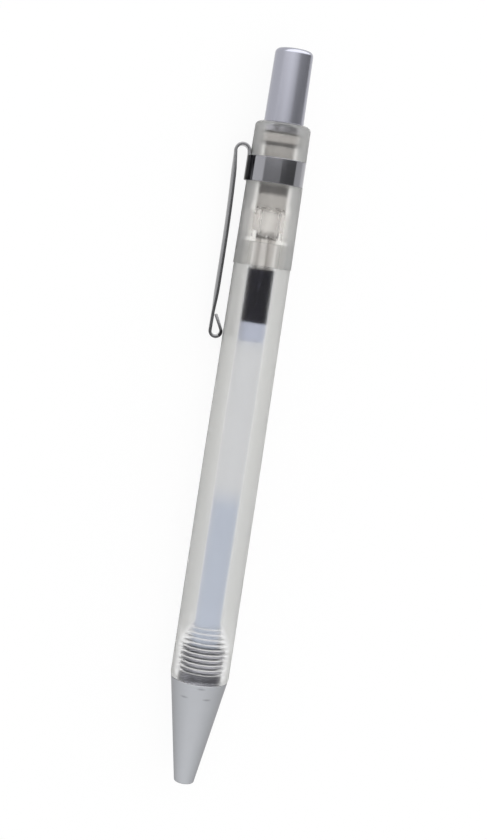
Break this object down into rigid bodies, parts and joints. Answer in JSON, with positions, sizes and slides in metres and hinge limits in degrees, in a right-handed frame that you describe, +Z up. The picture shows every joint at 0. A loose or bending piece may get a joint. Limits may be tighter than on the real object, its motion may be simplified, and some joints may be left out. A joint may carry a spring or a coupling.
{
  "type": "retractable ballpoint pen",
  "caption": "Click pen with a frosted clear barrel, silver push button, steel band clip, screwed nose cone, refill and return spring.",
  "frame": {"origin": "on the desk under the middle of the pen's box, the pen lying on its grip and its clip", "axes": "+X along the pen from the nose to the push button, +Y to the side that the clip lies on, +Z up"},
  "size_m": [0.1397, 0.0138, 0.011],
  "materials": {
    "silver_shell": "polished, then satin anodised",
    "milky_plastic": "moulded, natural",
    "frosted_barrel": "clear, frosted outside",
    "clip_steel": "rolled bright",
    "satin_nose": "bead blasted satin",
    "spring_steel": "drawn wire",
    "refill_tube": "extruded, translucent",
    "black_plug": "moulded",
    "follower_gel": "clear gel",
    "ink": "pale ink seen through the tube",
    "tip_metal": "nickel silver, turned",
    "ball_metal": "ground carbide"
  },
  "bodies": {
    "barrel": {"lower_barrel": "frosted_barrel", "upper_barrel": "frosted_barrel", "clip_band": "clip_steel", "clip_root": "clip_steel", "return_spring": "spring_steel"},
    "button": {"push_button": "silver_shell", "plunger": "milky_plastic"},
    "refill": {"refill_tube": "refill_tube", "tail_plug": "black_plug", "ink_follower": "follower_gel", "ink_column": "ink", "tip_holder": "milky_plastic", "writing_tip": "tip_metal"},
    "cam": {"rotary_cam": "milky_plastic"},
    "ball": {"tip_ball": "ball_metal"},
    "clip": {"clip_arm": "clip_steel"},
    "nose": {"nose_cone": "satin_nose"}
  },
  "joints": [
    {"name": "button_slide", "type": "slide", "parent": "barrel", "child": "button", "axis": [-1, 0, 0], "range_m": [0, 0.0065], "stiffness_N_per_m": 340, "springref_m": -0.0058, "deforming": ["return_spring"]},
    {"name": "refill_slide", "type": "slide", "parent": "barrel", "child": "refill", "axis": [-1, 0, 0], "range_m": [0, 0.0065]},
    {"name": "cam_turn", "type": "hinge", "parent": "refill", "child": "cam", "pos_m": [0.03505, -0.00141, 0.00552], "axis": [1, 0, 0], "range_deg": [0, 22.5]},
    {"name": "ball_roll", "type": "hinge", "parent": "refill", "child": "ball", "pos_m": [-0.067, -0.00141, 0.00552], "axis": [0, 1, 0], "continuous": true},
    {"name": "clip_flex", "type": "hinge", "parent": "barrel", "child": "clip", "pos_m": [0.05099, 0.00473, 0.00231], "axis": [0, -0.4634, -0.8862], "range_deg": [0, 4], "stiffness_Nm_per_rad": 0.59, "springref_deg": -2.29},
    {"name": "nose_turn", "type": "hinge", "parent": "barrel", "child": "nose", "pos_m": [-0.05015, -0.00141, 0.00552], "axis": [1, 0, 0], "continuous": true}
  ],
  "couplings": [
    {"joint": "refill_slide", "follows": "button_slide", "ratio": 1},
    {"joint": "cam_turn", "follows": "button_slide", "rad_per_m": 60.4}
  ]
}
